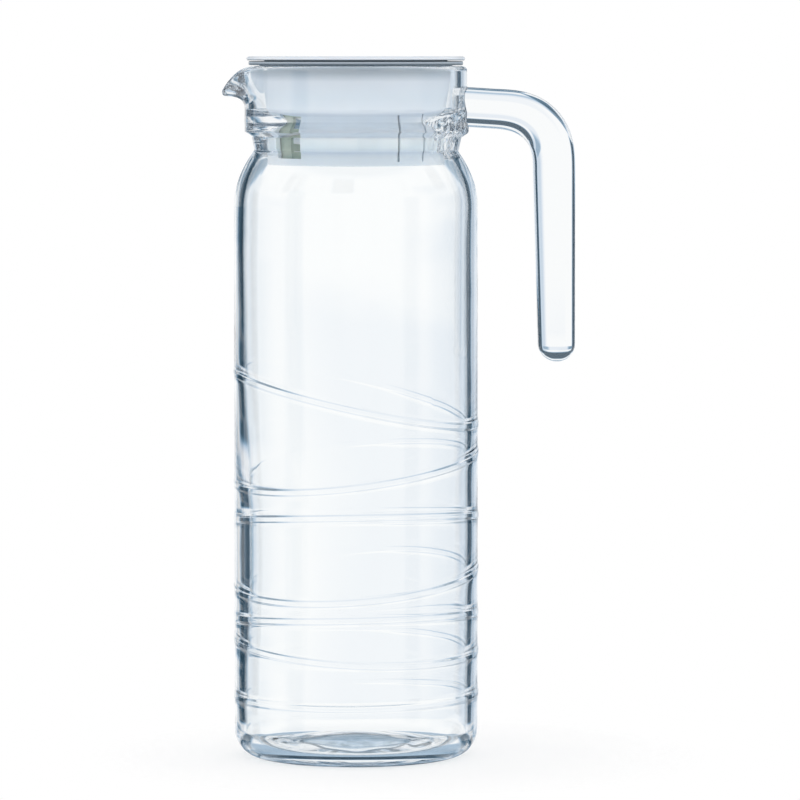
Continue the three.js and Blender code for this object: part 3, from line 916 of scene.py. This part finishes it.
@dataclass
class CaneHandle:
    """The solid cane of glass laid hot onto the collar and bent down. Sizes in mm, angles in degrees."""

    reach: float = 83.5
    arm_drop: float = 15.1
    arm_slope: float = 3.6
    grip_slope: float = 89.5
    arm_thickness: float = 15.2
    bend_thickness: float = 16.8
    grip_thickness: float = 16.2
    end_thickness: float = 14.2
    depth: float = 20.0
    bend_length: float = 37.0
    length: float = 112.4
    root_half_angle: float = 35.0
    root_depth: float = 1.4
    end_round: float = 6.8
    arm_round: float = 0.52
    grip_round: float = 0.53
    outer_round: float = 0.42
    end_square: float = 0.32
    arm_steps: int = 30
    bend_steps: int = 48
    grip_steps: int = 16
    end_steps: int = 14
    sides: int = 72

    def stations(self, vessel: GlassVessel) -> list[tuple[Vector, Vector, float]]:
        """Places the cross sections along the cane, whose bend starts and ends softly.

        Args:
            vessel: the vessel that carries it.

        Returns:
            The middle, the direction and the thickness of each section.
        """
        root = Vector((vessel.collar_radius * math.cos(math.radians(self.root_half_angle)),
                       vessel.rim_height - self.arm_drop))
        bend = [Vector((0, 0))]
        for k in range(self.bend_steps):
            s = (k + 0.5) / self.bend_steps
            angle = -math.radians(self.arm_slope + (self.grip_slope - self.arm_slope) * s * s * (3 - 2 * s))
            bend.append(bend[-1] + Vector((math.cos(angle), math.sin(angle))) * self.bend_length / self.bend_steps)
        arm = self.reach - self.grip_thickness / 2 - bend[-1].x - root.x
        start = root + Vector((arm, -arm * math.tan(math.radians(self.arm_slope))))
        end = start + bend[-1]
        tail = Vector((self.reach - self.end_thickness / 2, vessel.rim_height - self.length + self.end_round))
        points = [(root.lerp(start, t), self.arm_thickness) for t in np.linspace(0, 1, self.arm_steps).tolist()]
        swell = self.bend_thickness - (self.arm_thickness + self.grip_thickness) / 2
        for k, place in enumerate(bend[1:], 1):
            s = k / self.bend_steps
            plain = self.arm_thickness + (self.grip_thickness - self.arm_thickness) * s
            points.append((start + place, plain + swell * math.sin(math.pi * s) ** 2))
        points += [(end.lerp(tail, t), self.grip_thickness + (self.end_thickness - self.grip_thickness) * t)
                   for t in np.linspace(0, 1, self.grip_steps).tolist()[1:]]
        placed = []
        for i, (place, thick) in enumerate(points):
            ahead = points[min(i + 1, len(points) - 1)][0] - points[max(i - 1, 0)][0]
            placed.append((place, ahead.normalized(), thick))
        return placed

    def build(self, vessel: GlassVessel) -> Object:
        """Builds the cane, cut to sit in the collar's wall.

        Args:
            vessel: the vessel that carries it.

        Returns:
            The cane as a plain closed mesh.
        """
        turns = np.arange(self.sides) * (2 * math.pi / self.sides)
        rings = []
        placed = self.stations(vessel)
        for place, ahead, thick in placed:
            inner = self.arm_round + (self.grip_round - self.arm_round) * max(0.0, -ahead.y)
            power = np.where(np.sin(turns) > 0, self.outer_round, inner)
            up, out = (np.sign(wave) * np.abs(wave) ** power for wave in (np.sin(turns), np.cos(turns)))
            wide, tall = self.depth / 2, thick / 2
            rings.append(np.stack((place.x - ahead.y * tall * up, wide * out, place.y + ahead.x * tall * up), 1))
        last = rings[-1]
        middle = last.mean(0)
        forward = np.array((placed[-1][1].x, 0, placed[-1][1].y)) * self.end_round
        for angle in np.linspace(0, math.pi / 2, self.end_steps)[1:-1]:
            narrow = np.array((math.cos(angle), math.cos(angle) ** self.end_square, math.cos(angle)))
            rings.append(middle + (last - middle) * narrow + forward * math.sin(angle))
        piece = skin("cane", rings, (rings[0][:, 2].mean(), (middle + forward)[2]))
        combine(piece, vessel.core(self.root_depth), "DIFFERENCE")
        return piece


@dataclass
class GlassJug:
    """The vessel and its fused handle, one piece of glass."""

    vessel: GlassVessel = field(default_factory=GlassVessel)
    handle: CaneHandle = field(default_factory=CaneHandle)
    glass: ClearGlass = ClearGlass()

    def build(self) -> None:
        """Builds, fuses and dresses the glass."""
        finish = self.glass.material()
        jug = self.vessel.build(finish)
        combine(jug, self.handle.build(self.vessel), "UNION")
        dress(jug, finish)
        hand_over(jug, Rider.JUG, "clear_glass", "glass_body", "glass_handle")


@dataclass
class PlugLid:
    """The frosted plug, the finger bowl that turns in it and the shutter under the bowl. Sizes in mm."""

    vessel: GlassVessel
    clearance: float = 0.3
    flange_inset: float = 1.6
    flange_thickness: float = 1.5
    plug_wall: float = 1.6
    plug_top_clearance: float = 1.9
    skirt_clearance: float = 1.0
    plug_taper: float = 18.5
    skirt_height: float = 20.0
    window_width: float = 12.4
    window_height: float = 14.8
    window_angle: float = 223.5
    slit_width: float = 0.9
    slit_height: float = 17.0
    slit_angles: tuple[float, ...] = (298.0, 317.0)
    cut_depth: float = 12.0
    cap_inset: float = 0.6
    cap_thickness: float = 1.5
    cap_bevel: float = 0.9
    cap_undercut: float = 0.5
    bowl_wall: float = 1.6
    bowl_floor: float = 2.0
    bowl_depth: float = 22.4
    bar_thickness: float = 6.0
    bar_angle: float = 15.0
    bar_drop: float = 2.5
    spigot_height: float = 4.0
    spigot_wall: float = 1.6
    sleeve_wall: float = 1.5
    sleeve_recess: float = 0.5
    gap_width: float = 16.5
    gap_height: float = 14.0
    gap_angle: float = 238.0
    seam_inset: float = 0.7
    fine_fillet: float = 0.3
    lip_fillet: float = 0.4
    edge_fillet: float = 0.5
    base_fillet: float = 0.6
    rim_fillet: float = 0.7
    bend_fillet: float = 2.0
    well_fillet: float = 2.5
    bar_arc_points: int = 17
    bar_sections: int = 9
    segments: int = 144
    crisp_angle: float = 40.0
    shell_finish: FrostedPlastic = FrostedPlastic("frosted polypropylene, moulded matt", SHELL_LIGHT_AND_SHADE, 0.42, 0.4)
    bowl_finish: FrostedPlastic = FrostedPlastic("natural polypropylene, moulded smooth", BOWL_PAINTED_SHADE, 0.3, 0.4)
    sleeve_finish: ShutterPlastic = ShutterPlastic()

    def __post_init__(self) -> None:
        """Works out the radii and heights that follow from the sizes."""
        v = self.vessel
        self.flange_bottom = v.rim_height + self.clearance
        self.flange_top = self.flange_bottom + self.flange_thickness
        self.flange_radius = v.collar_radius - self.flange_inset
        self.cap_bottom = self.flange_top + self.clearance
        self.cap_top = self.cap_bottom + self.cap_thickness
        self.cap_radius = v.collar_radius - self.cap_inset
        self.plug_radius = v.collar_bore - self.plug_top_clearance
        self.skirt_radius = v.neck_bore - self.skirt_clearance
        self.skirt_top = self.flange_bottom - self.plug_taper
        self.skirt_bottom = self.skirt_top - self.skirt_height
        self.bowl_radius = self.skirt_radius - self.plug_wall - self.clearance
        self.bowl_top_radius = self.plug_radius - self.plug_wall - self.clearance
        self.floor_top = self.cap_top - self.bowl_depth
        self.floor_bottom = self.floor_top - self.bowl_floor
        self.sleeve_bore = self.bowl_radius - self.sleeve_wall

    def cut(self, tool: WindowTool, piece: Object, finish: Material, width: float,
            height: float, middle: float, angle: float) -> None:
        """Cuts a pair of windows through a round wall of the lid.

        Args:
            tool: the tree that cuts.
            piece: the piece that is cut.
            finish: its material.
            width: the windows' width.
            height: their height.
            middle: the height of their middle.
            angle: the direction of the first one, in degrees.
        """
        tool.apply(piece, finish, Width=width * MM, Height=height * MM, Depth=self.cut_depth * MM,
                   Radius=self.skirt_radius * MM, Middle=middle * MM, Angle=math.radians(angle), Axis=AXIS_X)

    def finish_edges(self, piece: Object, finish: Material) -> None:
        """Bakes a piece with its modifiers, dresses it in its material and keeps its cut edges crisp."""
        bake(piece)
        dress(piece, finish)
        piece.data.set_sharp_from_angle(angle=math.radians(self.crisp_angle))

    def build_shell(self, tool: WindowTool) -> None:
        """Builds the plug with its flange, skirt, windows and slits.

        Args:
            tool: the tree that cuts windows.
        """
        finish = self.shell_finish.material()
        wall = self.plug_wall
        outline = rounded([
            (self.skirt_radius - wall / 2, self.skirt_bottom),
            (self.skirt_radius, self.skirt_bottom, self.lip_fillet),
            (self.skirt_radius, self.skirt_top, self.bend_fillet),
            (self.plug_radius, self.flange_bottom, self.edge_fillet),
            (self.flange_radius, self.flange_bottom, self.edge_fillet),
            (self.flange_radius, self.flange_top, self.edge_fillet),
            (self.plug_radius - wall, self.flange_top, self.lip_fillet),
            (self.skirt_radius - wall, self.skirt_top, self.bend_fillet),
            (self.skirt_radius - wall, self.skirt_bottom, self.lip_fillet),
            (self.skirt_radius - wall / 2, self.skirt_bottom),
        ])
        piece = skin("frosted_plug", turn(outline[:-1], self.segments), None)
        middle = (self.skirt_top + self.skirt_bottom) / 2
        self.cut(tool, piece, finish, self.window_width, self.window_height, middle, self.window_angle)
        for angle in self.slit_angles:
            self.cut(tool, piece, finish, self.slit_width, self.slit_height, middle, angle)
        self.finish_edges(piece, finish)
        hand_over(piece, Rider.LID_PLUG, "frosted_plastic", "lid_shell")

    def build_bowl(self) -> None:
        """Builds the finger bowl with its bevelled cap, grip bar and spigot."""
        finish = self.bowl_finish.material()
        wall = self.bowl_wall
        spigot_radius = self.sleeve_bore - self.clearance
        spigot_bore = spigot_radius - self.spigot_wall
        outline = [(spigot_bore / 2, self.floor_bottom)] + rounded([
            (spigot_bore, self.floor_bottom, self.edge_fillet),
            (spigot_bore, self.floor_bottom - self.spigot_height, self.fine_fillet),
            (spigot_radius, self.floor_bottom - self.spigot_height, self.fine_fillet),
            (spigot_radius, self.floor_bottom, self.fine_fillet),
            (self.bowl_radius, self.floor_bottom, self.base_fillet),
            (self.bowl_radius, self.skirt_top, self.bend_fillet),
            (self.bowl_top_radius, self.cap_bottom, self.edge_fillet),
            (self.cap_radius - self.cap_undercut, self.cap_bottom, self.fine_fillet),
            (self.cap_radius, self.cap_bottom + self.cap_thickness / 2, self.fine_fillet),
            (self.cap_radius - self.cap_bevel, self.cap_top, self.edge_fillet),
            (self.bowl_top_radius - wall, self.cap_top, self.rim_fillet),
            (self.bowl_radius - wall, self.skirt_top, self.bend_fillet),
            (self.bowl_radius - wall, self.floor_top, self.well_fillet),
            (self.bowl_radius / 2, self.floor_top),
        ]) + [(self.bowl_radius / 4, self.floor_top)]
        piece = skin("finger_bowl", turn(outline, self.segments), (self.floor_bottom, self.floor_top))
        combine(piece, self.grip_bar(), "UNION")
        self.finish_edges(piece, finish)
        hand_over(piece, Rider.LID_INSERT, "lid_insert_plastic", "lid_bowl")

    def grip_bar(self) -> Object:
        """Builds the bar across the bowl, rounded along its top, and returns it."""
        half = self.bar_thickness / 2
        top = self.cap_top - self.bar_drop
        low = self.floor_top - self.bowl_floor / 2
        arcs = np.linspace(0, math.pi, self.bar_arc_points)
        arc = [(half * math.cos(a), top - half + half * math.sin(a)) for a in arcs]
        facing = math.radians(self.bar_angle)
        rings = []
        for share in np.linspace(1, -1, self.bar_sections):
            ring = []
            for across, z in [(-half, low)] + arc[::-1] + [(half, low)]:
                rise = (z - self.skirt_top) / (self.cap_bottom - self.skirt_top)
                reach = self.bowl_radius + max(0.0, rise) * (self.bowl_top_radius - self.bowl_radius)
                along = share * math.sqrt((reach - self.bowl_wall / 2) ** 2 - across ** 2)
                ring.append((along * math.cos(facing) - across * math.sin(facing),
                             along * math.sin(facing) + across * math.cos(facing), z))
            rings.append(np.array(ring))
        middle = (low + top) / 2
        return skin("grip_bar", rings, (middle, middle))

    def build_sleeve(self, tool: WindowTool) -> None:
        """Builds the shutter, a sleeve with two gaps.

        Args:
            tool: the tree that cuts windows.
        """
        finish = self.sleeve_finish.material()
        top = self.floor_bottom - self.clearance
        bottom = self.skirt_bottom + self.sleeve_recess
        start = (self.bowl_radius - self.seam_inset, bottom)
        outline = rounded([
            start,
            (self.bowl_radius, bottom, self.fine_fillet),
            (self.bowl_radius, top, self.fine_fillet),
            (self.sleeve_bore, top, self.fine_fillet),
            (self.sleeve_bore, bottom, self.fine_fillet),
            start,
        ])
        piece = skin("shutter", turn(outline[:-1], self.segments), None)
        self.cut(tool, piece, finish, self.gap_width, self.gap_height, (top + bottom) / 2, self.gap_angle)
        self.finish_edges(piece, finish)
        hand_over(piece, Rider.LID_INSERT, "shutter_plastic", "shutter_sleeve")

    def build(self) -> None:
        """Builds the lid's three pieces."""
        tool = WindowTool()
        self.build_shell(tool)
        self.build_bowl()
        self.build_sleeve(tool)


class Measure(Enum):
    """What the soft edges of a dark flag are measured along: degrees in the room, metres on the floor."""

    BEARING = auto()
    RISE = auto()
    FROM_BACK = auto()
    FROM_LEFT = auto()
    FROM_BACK_LEFT = auto()
    FROM_FRONT_RIGHT = auto()
    RADIUS = auto()
    ASIDE = auto()
    ALONG = auto()
    MOTTLE = auto()


# Where the white cards hang, in degrees round from straight behind the jug to the right
CARDS = {Measure.FROM_BACK: 0.0, Measure.FROM_LEFT: -90.0, Measure.FROM_BACK_LEFT: -45.0,
         Measure.FROM_FRONT_RIGHT: 135.0}


@dataclass(frozen=True)
class Edge:
    """One edge of a dark flag: what it is measured along, where it starts and ends, and the share either side."""

    measure: Measure
    start: float
    end: float
    before: float = 0.0
    after: float = 1.0
    soft: bool = True


@dataclass(frozen=True)
class Flag:
    """A dark flag in the white studio: how dark it is, the edges that bound it and what darkens it further."""

    depth: float
    edges: tuple[Edge, ...]
    extra: tuple["Flag", ...] = ()

    def shade(self, tree: NodeTree, measures: dict[Measure, Any]) -> Any:
        """Adds the nodes that work out how dark the flag is.

        Args:
            tree: the tree that takes the nodes.
            measures: the node or socket that gives each measure.

        Returns:
            The last node, or the plain depth where the flag has no edges.
        """
        total: Any = self.depth
        for flag in self.extra:
            total = add_node(tree, MATH, total, flag.shade(tree, measures), operation="ADD")
        for edge in self.edges:
            share = add_node(tree, RANGE, measures[edge.measure], edge.start, edge.end, edge.before, edge.after,
                             interpolation_type="SMOOTHSTEP" if edge.soft else "LINEAR")
            total = add_node(tree, MATH, total, share, operation="MULTIPLY")
        return total


# Edges along each measure, in its order
(by_bearing, by_rise, by_back, by_left, by_back_left, by_front_right, by_radius, by_aside, by_along,
 by_mottle) = (partial(Edge, measure) for measure in Measure)
# Edges and flags that several flags share
LEVEL = (by_rise(-10.2, -8.2), by_rise(24.0, 16.0))
SLOPED = (by_rise(-40.0, -34.0), by_rise(-14.0, -17.0))
LOW_BAND = (by_rise(-9.2, -11.0), by_rise(-25.0, -21.0))
HIGH_BAND = (by_rise(0.8, 2.0), by_rise(7.0, 5.0))
BEHIND = by_back(40.0, 30.0)
TO_LEFT = by_left(30.0, 20.0)
LOWER = Flag(0.24, (by_rise(-12.5, -16.5),))
STROKES = (
    Flag(0.55, (by_bearing(-5.0, -11.0), by_bearing(-30.0, -22.0))),
    Flag(0.4, (by_bearing(5.0, 11.0), by_bearing(30.0, 22.0))),
)
ROOM_FLAGS = (
    # Left, outer left and right of the card behind the jug, and either side of the card to its left
    Flag(1.0, (by_bearing(-19.5, -30.0), by_bearing(-45.0, -50.0, 1.0, 0.12), by_bearing(-100.0, -75.0), *LEVEL)),
    Flag(0.4, (by_bearing(-45.0, -51.0), by_bearing(-100.0, -75.0), by_rise(-0.8, -1.6), *LEVEL)),
    Flag(1.0, (by_bearing(8.0, 18.0), by_bearing(28.0, 33.0, 0.26), by_bearing(44.0, 49.0, 1.0, 0.2),
               by_bearing(112.0, 100.0), *LEVEL)),
    Flag(0.5, (by_left(17.0, 23.0), by_left(40.0, 36.0), *LEVEL)),
    # Either side of the low cards that the eye meets from above
    Flag(0.8, (by_back_left(14.0, 22.0), by_back_left(40.0, 36.0), *SLOPED)),
    Flag(0.8, (by_front_right(14.0, 22.0), by_front_right(44.0, 40.0), *SLOPED)),
    # A strip over the back card, the dark ceiling, and a hem under the back card
    Flag(0.95, (by_rise(8.0, 10.5), by_rise(28.0, 23.0), BEHIND)),
    Flag(0.55, (by_rise(38.0, 48.0),)),
    Flag(0.75, (by_rise(-34.0, -40.0), by_rise(-78.0, -68.0), by_bearing(-13.0, -7.0), by_bearing(15.0, 9.0))),
    # Lower and upper ends of the back and left cards, which draw the ripples
    Flag(0.12, (*LOW_BAND, BEHIND), (LOWER, *STROKES)),
    Flag(0.12, (*LOW_BAND, TO_LEFT), (LOWER,)),
    Flag(0.12, (*HIGH_BAND, BEHIND), STROKES),
    Flag(0.12, (*HIGH_BAND, TO_LEFT)),
    # A faint fall of light across the back card, in the lower body
    Flag(0.06, (by_bearing(-4.5, -1.0, soft=False), by_bearing(60.0, 40.0), by_rise(-2.2, -3.6))),
)
FOOT_PAINTED_SHADOWS = (
    # Painted shadow under the foot, seen only through the glass: mottled painted shade under the punt, a painted
    # contact shadow at the line of contact, painted shade on the rim outside it and at the two sides
    Flag(0.95, (by_radius(31 * MM, 26 * MM), by_mottle(0.0, 1.0, soft=False))),
    Flag(1.0, (by_radius(35.6 * MM, 36.9 * MM), by_radius(40.0 * MM, 38.7 * MM))),
    Flag(0.45, (by_radius(38.2 * MM, 40.0 * MM), by_radius(47.4 * MM, 45.6 * MM))),
    Flag(0.9, (by_aside(36 * MM, 42 * MM), by_along(12 * MM, 5 * MM))),
)
# How dark a flag is and the colour that it has in the glass
FLAG_TONES = ((0.0, "ffffff"), (0.15, "e4ebf4"), (0.4, "abc3d8"), (0.7, "65869e"), (1.0, "2a404f"))


def darkest(tree: NodeTree, flags: Sequence[Flag], measures: dict[Measure, Any]) -> Node:
    """Adds the nodes that find the darkest of several flags.

    Args:
        tree: the tree that takes the nodes.
        flags: the flags.
        measures: the node or socket that gives each measure.

    Returns:
        The node that gives its colour.
    """
    total: Any = 0.0
    for flag in flags:
        total = add_node(tree, MATH, total, flag.shade(tree, measures), operation="MAXIMUM")
    return graded(tree, total, FLAG_TONES)


def seen_in_glass(tree: NodeTree) -> tuple[Node, NodeSocket]:
    """Adds the nodes that tell what is seen in or through a shiny surface.

    Args:
        tree: the tree that takes the nodes.

    Returns:
        A node that is 1 there, and the number of diffuse bounces before it.
    """
    path = add_node(tree, "ShaderNodeLightPath").outputs
    seen = add_node(tree, MATH, path["Is Glossy Ray"], path["Is Transmission Ray"], operation="MAXIMUM")
    return seen, path["Diffuse Depth"]


@dataclass(frozen=True)
class PaintedBoard(Finish):
    """White board, painted matt, that is a disc on the table."""

    name: str = "white board, matt painted"
    light: str = "fefefe"
    dark: str = "fbfbfc"
    mottle: float = 60.0
    # Size and swirl of the mottle in the painted shade under the punt
    punt_shade_mottle: float = 9.0
    punt_shade_swirl: float = 1.5
    radius: float = 125.0
    fade: tuple[float, float] = (0.5, 0.95)
    clear_beyond: float = 60.0

    def layers(self, tree: NodeTree, place: NodeSocket) -> tuple[Node, ...]:
        """Adds the nodes of the board, by the place on it, and returns its surface."""
        # Matt and almost white, with a faint mottle, seen as white paper towards its edge. Through the glass it shows
        # a painted shadow under the foot, glowing, and beside the jug it lets the room show.
        node = partial(add_node, tree)
        mottle = node(NOISE, {"Vector": place, "Scale": per_size(self.mottle)})
        colour = node(MIX, {0: mottle, 6: linear(self.dark), 7: linear(self.light)}, data_type="RGBA").outputs[2]
        away = node(VECTOR, place, operation="LENGTH").outputs["Value"]
        edge = node(RANGE, away, *(share * self.radius * MM for share in self.fade))
        paper = node("ShaderNodeEmission", linear("ffffff"))
        lit = node(MIX_SHADER, edge, node("ShaderNodeBsdfDiffuse", colour), paper)
        from_axis = node(VECTOR, place, (AXIS_X, 0, 0), operation="SUBTRACT")
        across, along, _ = node(SPLIT, from_axis).outputs
        measures = {
            Measure.RADIUS: node(VECTOR, from_axis, operation="LENGTH").outputs["Value"],
            Measure.ASIDE: node(MATH, across, operation="ABSOLUTE"),
            Measure.ALONG: node(MATH, along, operation="ABSOLUTE"),
            Measure.MOTTLE: node(NOISE, {"Vector": place, "Scale": per_size(self.punt_shade_mottle),
                                         "Distortion": self.punt_shade_swirl}),
        }
        # Painted shadow under the foot, glowing so that the glass shows it
        foot = node("ShaderNodeEmission", darkest(tree, FOOT_PAINTED_SHADOWS, measures))
        beyond = node(MATH, measures[Measure.ASIDE], self.clear_beyond * MM, operation="GREATER_THAN")
        glimpse = node(MIX_SHADER, beyond, foot, node("ShaderNodeBsdfTransparent"))
        seen, _ = seen_in_glass(tree)
        return (node(MIX_SHADER, seen, lit, glimpse),)


@dataclass
class Studio:
    """The camera, the pale floor and the soft light round the jug, in metres."""

    camera_distance: float = 2.1
    camera_height: float = 0.270
    aim_height: float = 0.1364
    axis_to_right: float = 0.0168
    view_width: float = 0.3056
    view_end: float = 50.0
    sensor: float = 36.0
    floor_drop: float = 0.00005
    floor_sides: int = 96
    light_turns: int = 96
    board: PaintedBoard = PaintedBoard()

    def place_camera(self) -> None:
        """Sets the camera at the photograph's viewing angle."""
        data = bpy.data.cameras.new("camera")
        data.sensor_width = self.sensor
        drop = self.camera_height - self.aim_height
        data.lens = self.sensor * math.hypot(self.camera_distance, drop) / self.view_width
        data.clip_end = self.view_end
        camera = bpy.data.objects.new("camera", data)
        camera.location = (AXIS_X + self.axis_to_right, -self.camera_distance, self.camera_height)
        camera.rotation_euler = Euler((math.pi / 2 - math.atan2(drop, self.camera_distance), 0, 0))
        bpy.context.scene.collection.objects.link(camera)
        bpy.context.scene.camera = camera

    def lay_floor(self) -> None:
        """Lays the pale floor, a disc that fades to the white backdrop at its edge."""
        ring = turn([(self.board.radius, -self.floor_drop / MM)], self.floor_sides)[0] - (AXIS_X / MM, 0, 0)
        floor = place_mesh("floor", ring, [range(self.floor_sides)])
        floor.data.materials.append(self.board.material())

    def light_world(self) -> None:
        """Lights the scene from a white room, in which only the glass shows the dark flags."""
        world = bpy.data.worlds.new("studio")
        bpy.context.scene.world = world
        world.use_nodes = True
        tree = world.node_tree
        tree.nodes.clear()
        node = partial(add_node, tree)
        right, back, up = node(SPLIT, node("ShaderNodeTexCoord").outputs["Generated"]).outputs
        bearing = node(MATH, node(MATH, right, back, operation="ARCTAN2"), operation="DEGREES")
        rise = node(MATH, node(MATH, up, operation="ARCSINE"), operation="DEGREES")
        measures = {Measure.BEARING: bearing, Measure.RISE: rise}
        for measure, centre in CARDS.items():
            off = node(MATH, bearing, centre, operation="SUBTRACT")
            measures[measure] = node(MATH, off, operation="ABSOLUTE")
        picture = darkest(tree, ROOM_FLAGS, measures)
        seen, bounces = seen_in_glass(tree)
        direct = node(MATH, bounces, 0.5, operation="LESS_THAN")
        seen = node(MATH, seen, direct, operation="MULTIPLY")
        colour = node(MIX, {0: seen, 6: linear("ffffff"), 7: picture}, data_type="RGBA").outputs[2]
        node("ShaderNodeOutputWorld", node("ShaderNodeBackground", colour))

    def build(self) -> None:
        """Builds the camera, the floor and the light."""
        self.place_camera()
        self.lay_floor()
        self.light_world()
        bpy.context.scene.view_settings.view_transform = "Standard"
        cycles = bpy.context.scene.cycles
        cycles.blur_glossy = 0.0
        for kind in ("max_bounces", "transmission_bounces", "glossy_bounces"):
            setattr(cycles, kind, self.light_turns)


def main() -> None:
    """Builds the studio and every piece."""
    logging.basicConfig(level=logging.INFO, format="%(name)s: %(message)s")
    Studio().build()
    jug = GlassJug()
    jug.build()
    PlugLid(jug.vessel).build()
    LOG.info("boxes written")


if __name__ == "__main__":
    main()
